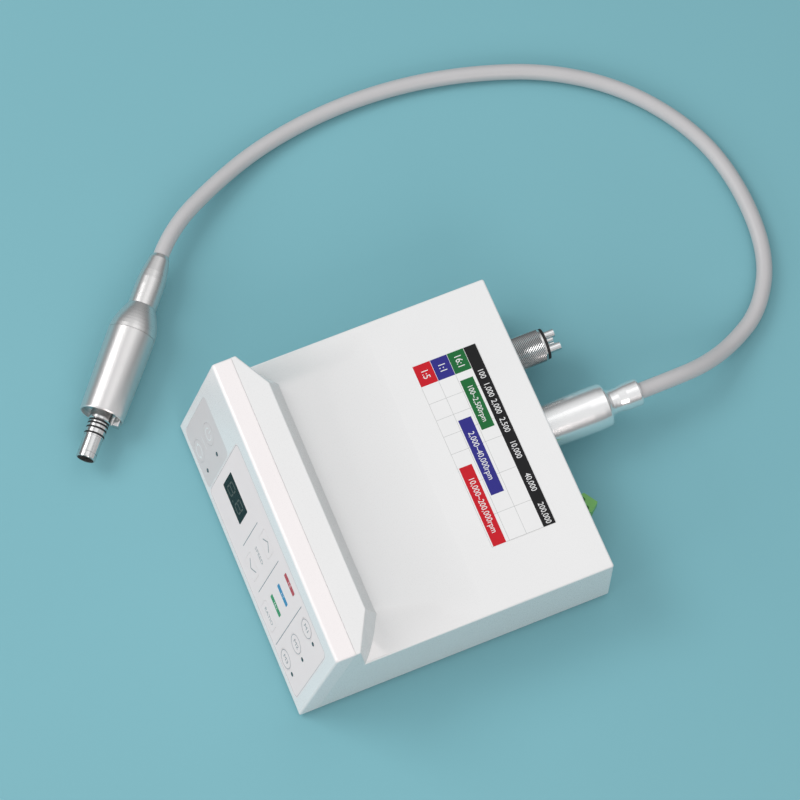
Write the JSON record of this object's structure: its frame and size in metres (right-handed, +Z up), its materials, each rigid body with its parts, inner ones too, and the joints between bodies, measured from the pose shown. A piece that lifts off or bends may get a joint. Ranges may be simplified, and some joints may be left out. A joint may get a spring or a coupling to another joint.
{
  "type": "electric dental micromotor set",
  "caption": "Desktop control box with a sloped keypad panel and rear ports, joined by a silicone hose to a cylindrical motor handpiece with a ringed coupling spigot.",
  "frame": {"origin": "centre of the control box's footprint, on the surface it stands on", "axes": "+Z up, +Y towards the rear ports, +X to the right of a user who faces the sloped panel"},
  "size_m": [0.292, 0.3615, 0.0632],
  "materials": {
    "housing": "fine satin moulding",
    "base_plastic": "matt",
    "foot_rubber": "matt",
    "screw_steel": "zinc plated",
    "film_light": "fine matt film",
    "film_grey": "fine matt film",
    "window_dark": "dark tinted",
    "display_black": "matt",
    "led_clear": "clear moulded",
    "ratio_red": "tinted",
    "ratio_blue": "tinted",
    "ratio_green": "tinted",
    "chart_film": "printed film",
    "board_green": "solder mask",
    "component_black": "moulded",
    "sink_aluminium": "milled",
    "cable_grey": "ribbed",
    "valve_steel": "plated",
    "tube_silicone": "silicone",
    "plated_brass": "nickel plated, threaded",
    "gasket_rubber": "matt",
    "tube_steel": "bright drawn",
    "coupling_satin": "fine satin",
    "terminal_black": "moulded",
    "terminal_green": "moulded",
    "hose_silicone": "smooth silicone",
    "motor_satin": "satin",
    "motor_brushed": "turned, fine rings",
    "spigot_polished": "polished",
    "contact_plastic": "moulded",
    "lamination_steel": "stacked sheet",
    "copper_winding": "enamelled",
    "shaft_steel": "ground",
    "magnet_dark": "sintered",
    "bearing_steel": "polished"
  },
  "bodies": {
    "unit": {"upper_housing": "housing", "front_bezel": "housing", "base_plate": "base_plastic", "rubber_feet": "foot_rubber", "base_screws": "screw_steel", "board_screws": "screw_steel", "panel_film_light": "film_light", "panel_film_grey": "film_grey", "display_window": "window_dark", "display_module": "display_black", "indicator_leds": "led_clear", "ratio_lens_red": "ratio_red", "ratio_lens_blue": "ratio_blue", "ratio_lens_green": "ratio_green", "speed_chart_label": "chart_film", "keypad_board": "board_green", "main_board": "board_green", "tactile_switches": "component_black", "driver_chips": "component_black", "pressure_sensor": "component_black", "power_capacitors": "component_black", "heat_sink": "sink_aluminium", "air_manifold": "sink_aluminium", "ribbon_cable": "cable_grey", "solenoid_valves": "valve_steel", "internal_tubes": "tube_silicone", "stub_body": "plated_brass", "stub_nut": "plated_brass", "socket_nut": "plated_brass", "hose_socket": "plated_brass", "stub_gasket": "gasket_rubber", "spigot_o_rings": "gasket_rubber", "stub_tubes": "tube_steel", "hose_end_sleeve": "coupling_satin", "terminal_socket": "terminal_black", "terminal_plug": "terminal_green", "hose": "hose_silicone", "motor_rear_cap": "motor_satin", "motor_housing": "motor_brushed", "motor_spigot": "spigot_polished", "locating_lug": "spigot_polished", "motor_contact_plug": "contact_plastic", "stator_core": "lamination_steel", "stator_windings": "copper_winding", "bearing_outer_races": "bearing_steel"},
    "coupling_ring": {"coupling_nut": "coupling_satin"},
    "tail_sleeve": {"motor_tail_nut": "motor_satin"},
    "rotor": {"rotor_shaft": "shaft_steel", "rotor_magnet": "magnet_dark", "bearing_inner_races": "bearing_steel", "drive_dog": "shaft_steel"},
    "ball_sets": {"bearing_balls": "bearing_steel"},
    "key_power": {"key_power": "film_grey"},
    "key_direction": {"key_direction": "film_grey"},
    "key_speed_up": {"key_speed_up": "film_light"},
    "key_speed_down": {"key_speed_down": "film_light"},
    "key_ratio": {"key_ratio": "film_light"},
    "key_memory_1": {"key_memory_1": "film_light"},
    "key_memory_2": {"key_memory_2": "film_light"},
    "key_memory_3": {"key_memory_3": "film_light"}
  },
  "joints": [
    {"name": "key_power_press", "type": "slide", "parent": "unit", "child": "key_power", "axis": [0, 0.949, -0.3153], "range_m": [0, 0.0003], "stiffness_N_per_m": 600},
    {"name": "key_direction_press", "type": "slide", "parent": "unit", "child": "key_direction", "axis": [0, 0.949, -0.3153], "range_m": [0, 0.0003], "stiffness_N_per_m": 600},
    {"name": "key_speed_up_press", "type": "slide", "parent": "unit", "child": "key_speed_up", "axis": [0, 0.949, -0.3153], "range_m": [0, 0.0003], "stiffness_N_per_m": 600},
    {"name": "key_speed_down_press", "type": "slide", "parent": "unit", "child": "key_speed_down", "axis": [0, 0.949, -0.3153], "range_m": [0, 0.0003], "stiffness_N_per_m": 600},
    {"name": "key_ratio_press", "type": "slide", "parent": "unit", "child": "key_ratio", "axis": [0, 0.949, -0.3153], "range_m": [0, 0.0003], "stiffness_N_per_m": 600},
    {"name": "key_memory_1_press", "type": "slide", "parent": "unit", "child": "key_memory_1", "axis": [0, 0.949, -0.3153], "range_m": [0, 0.0003], "stiffness_N_per_m": 600},
    {"name": "key_memory_2_press", "type": "slide", "parent": "unit", "child": "key_memory_2", "axis": [0, 0.949, -0.3153], "range_m": [0, 0.0003], "stiffness_N_per_m": 600},
    {"name": "key_memory_3_press", "type": "slide", "parent": "unit", "child": "key_memory_3", "axis": [0, 0.949, -0.3153], "range_m": [0, 0.0003], "stiffness_N_per_m": 600},
    {"name": "coupling_turn", "type": "hinge", "parent": "unit", "child": "coupling_ring", "pos_m": [-0.0038, 0.0803, 0.021], "axis": [0, 1, 0], "range_deg": [0, 540]},
    {"name": "tail_sleeve_turn", "type": "hinge", "parent": "unit", "child": "tail_sleeve", "pos_m": [-0.1637, -0.0558, 0.01192], "axis": [0.7683, -0.6401, 0], "range_deg": [0, 1080]},
    {"name": "rotor_spin", "type": "hinge", "parent": "unit", "child": "rotor", "pos_m": [-0.1176, -0.09421, 0.01192], "axis": [0.7683, -0.6401, 0], "continuous": true},
    {"name": "ball_spin", "type": "hinge", "parent": "unit", "child": "ball_sets", "pos_m": [-0.1176, -0.09421, 0.01192], "axis": [0.7683, -0.6401, 0], "continuous": true}
  ],
  "couplings": [
    {"joint": "ball_spin", "follows": "rotor_spin", "ratio": 0.4}
  ]
}
